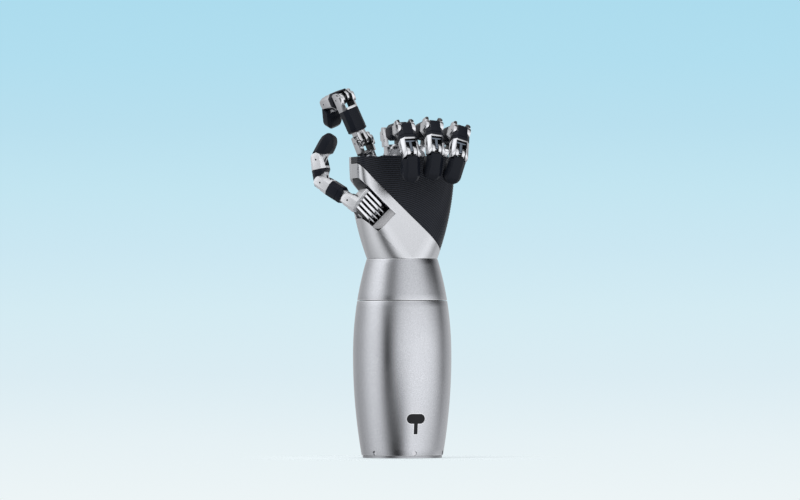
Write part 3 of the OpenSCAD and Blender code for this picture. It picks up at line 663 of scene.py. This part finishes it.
def drawRow(bm, edges, verts):
    # extrudes a row of edges; gives the new edges, the vertex that follows each old one, and the new faces
    drawn = bmesh.ops.extrude_edge_only(bm, edges=edges)["geom"]
    fresh = {v for v in drawn if isinstance(v, bmesh.types.BMVert)}
    following = [next(e.other_vert(v) for e in v.link_edges if e.other_vert(v) in fresh) for v in verts]
    return ([e for e in drawn if isinstance(e, bmesh.types.BMEdge)], following,
            [f for f in drawn if isinstance(f, bmesh.types.BMFace)])


def palmSheet(levels, cells, sunk=None):
    # a ring of edges drawn up level by level from the wrist, laid on the palm's outline
    def laid(z):
        return [place - outward * (sunk(place) if sunk else 0) for place, outward in palmRing(z, cells)]

    bm = bmesh.new()
    verts = [bm.verts.new(place) for place in laid(palm["bottom"])]
    edges = [bm.edges.new((a, b)) for a, b in zip(verts, verts[1:] + verts[:1])]
    for level in range(1, levels + 1):
        edges, verts, _ = drawRow(bm, edges, verts)
        for vert, place in zip(verts, laid(palm["bottom"] + (palm["top"] - palm["bottom"]) * level / levels)):
            vert.co = place
    bmesh.ops.recalc_face_normals(bm, faces=bm.faces)
    first = bm.faces[0]
    if first.normal.xy.dot(first.calc_center_median().xy) < 0:
        bmesh.ops.reverse_faces(bm, faces=bm.faces)
    return bm


def thicken(bm, wall, edge, lipIndex=1):
    # gives a sheet its wall inwards, with a small rounded rim along every open edge; the rim takes the material at
    # lipIndex, a brighter painted highlight on the silver sheets
    bmesh.ops.remove_doubles(bm, verts=bm.verts, dist=weld["rim"])
    bm.normal_update()
    edges = [e for e in bm.edges if len(e.link_faces) == 1]
    away = {}  # the way out of the sheet at each vertex of an open edge
    for e in edges:
        face = e.link_faces[0]
        out = (e.verts[1].co - e.verts[0].co).normalized().cross(face.normal)
        if out.dot(e.verts[0].co - face.calc_center_median()) < 0:
            out.negate()
        for v in e.verts:
            away[v] = away.get(v, Vector()) + out
    for out in away.values():
        out.normalize()
    inner = bmesh.ops.duplicate(bm, geom=everything(bm))
    normals = {v: v.normal.copy() for v in bm.verts}
    for v in (v for v in inner["geom"] if isinstance(v, bmesh.types.BMVert)):
        v.co -= normals[v] * wall
    for v, out in away.items():
        inner["vert_map"][v].co += out * edge
    bmesh.ops.reverse_faces(bm, faces=[f for f in inner["geom"] if isinstance(f, bmesh.types.BMFace)])
    ends = list(away)
    for outShare, inShare, lip in ((0.7, 0.3, True), (1.0, 1.0, True), (1.0, wall / edge, False)):
        edges, ends, faces = drawRow(bm, edges, ends)
        for end, (v, out) in zip(ends, away.items()):
            end.co = v.co + out * edge * outShare - normals[v] * edge * inShare
        for face in faces if lip else ():
            face.material_index = lipIndex
    bmesh.ops.remove_doubles(bm, verts=bm.verts, dist=weld["node"])
    bmesh.ops.recalc_face_normals(bm, faces=bm.faces)


pocket = dict(middle=Vector((-0.0383, -0.007, 0.2488)), halfWidth=0.01235, floor=-0.0201, openBack=0.0075,
              openTop=0.008)


def cutPocket(bm):
    # opens the sheet where the thumb's fins turn
    grow, middle = palm["edge"], pocket["middle"]
    half, floor = pocket["halfWidth"] + grow, pocket["floor"] - grow
    top, rear = pocket["openTop"] - grow, pocket["openBack"] + grow
    for place, direction in ((middle - alongAxle * half, alongAxle), (middle + alongAxle * half, alongAxle),
                             (middle + towardThumb * floor, towardThumb),
                             (middle + towardThumb * top, towardThumb), ((0, rear, 0), (0, 1, 0))):
        splitAt(bm, place, direction)

    def inPocket(place):
        u, v = (place - middle).dot(alongAxle), (place - middle).dot(towardThumb)
        return abs(u) < half and v > floor and (place.y < rear or v > top)

    gone = [face for face in bm.faces if inPocket(face.calc_center_median())]
    bmesh.ops.delete(bm, geom=gone, context="FACES")


shrink = palm["gap"] + palm["edge"]  # how far a sheet stops short of a seam, for the gap and its rim


def splitAtSeam(bm, side):
    # keeps the part below the slanting seam (side = 1) or above it (side = -1)
    level = palm["seam"] - side * shrink * math.sqrt(2)
    splitAt(bm, Vector((0, 0, level)), alongAxle * side, drop=True)


def splitAtBack(bm, side):
    # keeps the front (side = 1) or the back (side = -1) of the palm
    splitAt(bm, (0, palm["backSeam"] - side * shrink, 0), (0, side, 0), drop=True)


def silverPiece(name, bm, node):
    cutPocket(bm)
    thicken(bm, palm["wall"], palm["edge"])
    evenShading(makePiece(name, bm, ["palmSilver", "paintedLipHighlight"], "housing", [node],
                          palm["smoothBelow"]))


silver = palmSheet(palm["levels"], palm["cells"])
splitAtSeam(silver, 1)
splitAtBack(silver, 1)
silverPiece("palmSilver", silver, "palm_shell")

back = palmSheet(palm["levels"], palm["cells"])
splitAtBack(back, -1)
silverPiece("backSilver", back, "back_cover")


def ribGroove(place):
    reach = math.hypot(place.x - ribs["middleX"], place.z - ribs["middleZ"])
    return ribs["depth"] * (0.5 + 0.5 * math.cos(2 * math.pi * reach / ribs["pitch"]))


padMesh = dict(levels=190, cells=(150, 26, 12), smoothBelow=60)
pad = palmSheet(padMesh["levels"], padMesh["cells"], sunk=ribGroove)
splitAtSeam(pad, -1)
splitAtBack(pad, 1)
thicken(pad, palm["wall"] - ribs["depth"], palm["edge"], lipIndex=0)
makePiece("palmPad", pad, ["padRubber"], "housing", ["palm_pad"], padMesh["smoothBelow"])


def palmCore(bm):
    # the palm's whole volume, a little inside its face
    sheet = palmSheet(24, (12, 6, 8), sunk=lambda place: 0.0004)
    bmesh.ops.remove_doubles(sheet, verts=sheet.verts, dist=weld["rim"])
    bmesh.ops.holes_fill(sheet, edges=[e for e in sheet.edges if len(e.link_faces) == 1], sides=0)
    bmesh.ops.recalc_face_normals(sheet, faces=sheet.faces)
    mesh = meshFrom("core", sheet)
    bm.from_mesh(mesh)
    bpy.data.meshes.remove(mesh)


ramp = dict(thick=0.0016, run=0.0092, tilt=-46, level=-0.0169, depth=-0.0242, edge=0.0004, play=0.0002)


def pocketRamp():
    # sloping wall at the lower end of the pocket, from the palm's face down to the ends of the fins
    bm = bmesh.new()
    bmesh.ops.create_cube(bm, size=1)
    width = 2 * (pocket["halfWidth"] - ramp["play"])
    bmesh.ops.scale(bm, vec=(width, ramp["thick"], ramp["run"]), verts=bm.verts)
    breakEdges(bm, ramp["edge"], 2)
    for angle, axis in ((ramp["tilt"], "X"), (-45, "Y")):
        turn = Matrix.Rotation(math.radians(angle), 3, axis)
        bmesh.ops.rotate(bm, cent=(0, 0, 0), matrix=turn, verts=bm.verts)
    middle = pocket["middle"] + towardThumb * ramp["level"]
    middle.y = ramp["depth"]
    bmesh.ops.translate(bm, verts=bm.verts, vec=middle)
    return cutAway(bm, palmCore, operation="INTERSECT")


makePiece("pocketRamp", pocketRamp(), ["cavityGrey"], "housing")
print("palm made")

grooves = dict(width=0.0006, depth=0.0004, tip_cap=0.0030, upper_cover=0.0105, lower_cover=0.0135)  # from the pin


def axesOf(node):
    # pin, pin direction, and the way the phalanx points, from its joint and its widest flat face
    joint = jointTo[bodyOf(node)]
    pin, across = Vector(joint["pos_m"]), Vector(joint["axis"]).normalized()
    bm = nodeCopy(node)
    flats = [f for f in bm.faces if abs(f.normal.dot(across)) < 0.1]
    flat = max(flats, key=lambda f: f.calc_area()).normal.copy()
    middle = sum((v.co for v in bm.verts), Vector()) / len(bm.verts)
    bm.free()
    along = across.cross(flat).normalized()
    if along.dot(middle - pin) < 0:
        along.negate()
    return pin, across, along


def cutGroove(bm, place, direction):
    # a thin line sunk all round a piece
    width = grooves["width"]
    for side in (-0.5, 0.5):
        splitAt(bm, place + direction * width * side, direction)
    band = [f for f in bm.faces if abs((f.calc_center_median() - place).dot(direction)) < 0.49 * width
            and abs(f.normal.dot(direction)) < 0.5]
    bmesh.ops.inset_region(bm, faces=band, thickness=width * 0.08, depth=-grooves["depth"], use_boundary=True,
                           use_even_offset=True)


nextBody = {"knuckle": "lower", "lower": "upper", "upper": "tip", "base": "lower"}


def pinsOf(node):
    # pins at both ends of the body that a frame belongs to
    body = bodyOf(node)
    digit, level = body.split("_")
    found = []
    for name in (body, digit + "_" + nextBody.get(level, "none")):
        if name in jointTo and not jointTo[name]["name"].endswith(("spread", "swing")):
            found.append((Vector(jointTo[name]["pos_m"]), Vector(jointTo[name]["axis"]).normalized()))
    return found


pinDimple = dict(radius=0.0009, depth=0.0008, halfWidth=0.00905)


def dimples(pin):
    # centre holes in both ends of a hinge pin
    def build(bm):
        place, across = pin
        for side in (-1, 1):
            end = Matrix.Translation(place + across * pinDimple["halfWidth"] * side)
            bmesh.ops.create_cone(bm, cap_ends=True, segments=20, radius1=pinDimple["radius"],
                                  radius2=pinDimple["radius"], depth=2 * pinDimple["depth"],
                                  matrix=end @ facing(across))
    return build


# half the room between a fork's ears and between its lobes, and how far from the pin the faces with painted shade
# reach
shadedWells = dict(window=0.00545, slot=0.0018, play=0.0007, reach=0.026, floorFrom=0.007, earFrom=0.0075, turned=0.8)


def isShadedWell(face, pin, across, floors):
    # a face in a pin's centre hole, in a fork's window, between two lobes, or on the floor of a window; it takes
    # near-black painted shade over the black of the inner faces
    away = face.calc_center_median() - pin
    out = away.dot(across)
    flat = away - across * out
    spread = max((v.co - pin).cross(across).length for v in face.verts)
    if spread < pinDimple["radius"] * 1.05 and abs(out) > shadedWells["earFrom"]:
        return True
    if flat.length > shadedWells["reach"] or abs(out) > shadedWells["window"] + 0.0003:
        return False
    inward = -face.normal.dot(across) * (1 if out > 0 else -1)
    level = min(abs(abs(out) - shadedWells["window"]), abs(abs(out) - shadedWells["slot"]))
    if inward > shadedWells["turned"] and level < shadedWells["play"]:
        return True
    return floors and flat.length > shadedWells["floorFrom"] and face.normal.dot(-flat.normalized()) > shadedWells["turned"]


def paintFins(bm):
    # the thumb's fins keep their silver on the rims, and the faces between them are painted dark: painted shade in
    # the gaps
    for face in bm.faces:
        face.material_index = int(abs(face.normal.dot(alongAxle)) > 0.3)


def paintSocket(bm):
    # side walls of the pocket grey, dark at the upper end, and the fixed fins painted dark between their rims, as
    # painted shade in the gaps
    for face in bm.faces:
        away = face.calc_center_median() - pocket["middle"]
        u, v = away.dot(alongAxle), away.dot(towardThumb)
        if abs(u) > pocket["halfWidth"] - 0.0006:
            face.material_index = 3 if u > 0 and v > 0.006 else 2
        elif abs(face.normal.dot(alongAxle)) > 0.3:
            face.material_index = 1


dressed = {  # finishes and edge rounding of the pieces that keep the frame's shape, by the end of their name
    "knuckle": (["polishedSilver", "wellBlackAndShade"], 0.0004, 2),
    "lower_frame": (["polishedSilver", "wellBlackAndShade"], 0.0004, 2),
    "upper_frame": (["polishedSilver", "wellBlackAndShade"], 0.0004, 2),
    "tip_frame": (["polishedSilver", "wellBlackAndShade"], 0.0004, 2),
    "lower_cover": (["charcoal"], 0.0006, 3),
    "upper_cover": (["charcoal"], 0.0006, 3),
    "tip_cap": (["charcoal"], 0.0009, 3),
    "link": (["bluedSteel"], 0.0002, 2),
    "thumb_base": (["paleSatin", "wellBlackAndShade"], 0.0005, 2),
    "thumb_fins": (["polishedSilver", "wellBlackAndShade"], 0.0011, 1),
    "thumb_socket": (["socketSilver", "wellBlackAndShade", "cavityGrey", "charcoal"], 0.0005, 1),
}
forks = ("knuckle", "lower_frame", "upper_frame", "tip_frame", "thumb_base")


def dressNode(node, ending):
    finishNames, width, segments = dressed[ending]
    bm = nodeCopy(node)
    breakEdges(bm, width, segments)
    if ending == "thumb_fins":
        paintFins(bm)
    if ending == "thumb_socket":
        paintSocket(bm)
    if ending in grooves:
        pin, across, along = axesOf(node)
        cutGroove(bm, pin + along * grooves[ending], along)
    if ending in forks:
        pins = pinsOf(node)
        if ending != "tip_frame":
            bm = cutAway(bm, dimples(pins[-1]))
        # faces in windows, slots and centre holes get the near-black painted shade
        for face in bm.faces:
            if any(isShadedWell(face, pin, across, ending != "thumb_base") for pin, across in pins):
                face.material_index = 1
        if node.startswith("thumb"):  # the thumb's metal is paler than the fingers'
            finishNames = ["paleSatin", "wellBlackAndShade"]
    makePiece("dressed_" + node, bm, finishNames, bodyOf(node), [node])


endings = {node: ending for node in sorted(frame["nodes"]) for ending in dressed if node.endswith(ending)}
for node, ending in endings.items():
    dressNode(node, ending)
print("edges rounded on", len(endings), "pieces")

plain = {  # nodes that stay as they are
    "base_plate": "turnedMetal", "base_screws": "pinSteel", "lower_deck": "turnedMetal", "upper_deck": "turnedMetal",
    "tie_rods": "pinSteel", "finger_motors": "motorPaint", "control_board": "boardGreen",
    "wrist_flange": "turnedMetal", "palm_frame": "turnedMetal", "spread_pins": "pinSteel",
    "top_cover": "deepBlack", "thumb_axle": "pinSteel",
}
for node, finish in plain.items():
    mesh = frame["nodes"][node].data
    mesh.materials.clear()
    mesh.materials.append(materials[finish])

print("all pieces in place")
